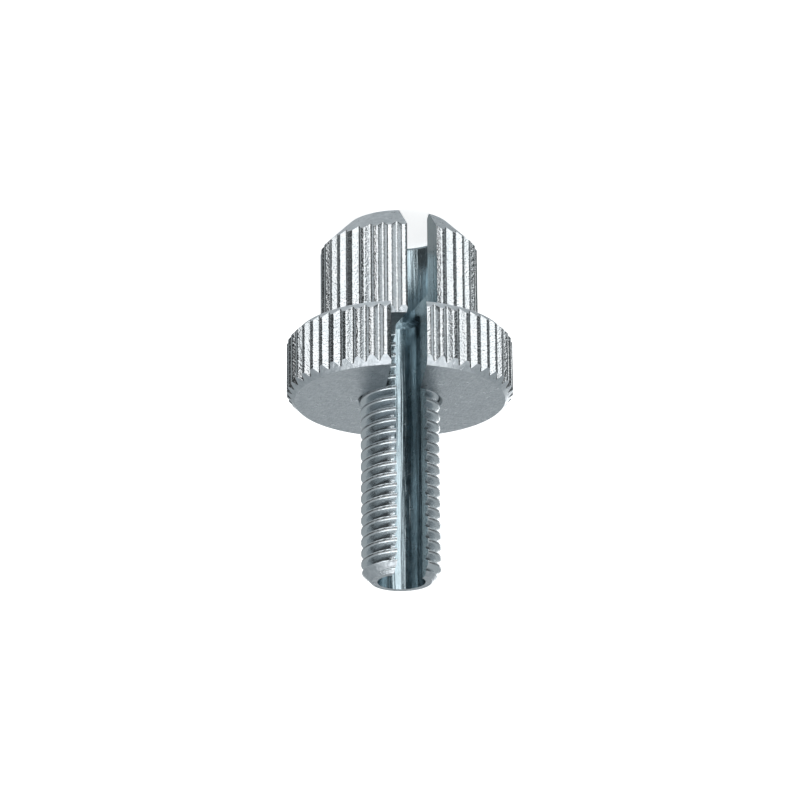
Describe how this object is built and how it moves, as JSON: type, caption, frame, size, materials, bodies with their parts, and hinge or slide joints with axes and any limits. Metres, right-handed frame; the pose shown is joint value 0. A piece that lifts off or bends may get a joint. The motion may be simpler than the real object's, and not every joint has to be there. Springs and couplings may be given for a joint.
{
  "type": "cable adjusting screw with lock ring",
  "caption": "Hollow slotted adjusting screw for a control cable, with a knurled head, a socket for the cable's ferrule, and a knurled lock ring that runs on its thread.",
  "frame": {"origin": "centre of the head's end face, on the axis, where the part stands", "axes": "+Z along the axis, from the head to the threaded tip; -Y out of the screw's cable slot"},
  "size_m": [0.02, 0.02, 0.033],
  "materials": {
    "zinc_plated_steel": "bright bluish zinc plate over a turned and knurled surface"
  },
  "bodies": {
    "screw": {"adjusting_screw": "zinc_plated_steel"},
    "ring": {"lock_ring": "zinc_plated_steel"}
  },
  "joints": [
    {"name": "lock_ring_travel", "type": "slide", "parent": "screw", "child": "ring", "axis": [0, 0, 1], "range_m": [0, 0.016]}
  ]
}
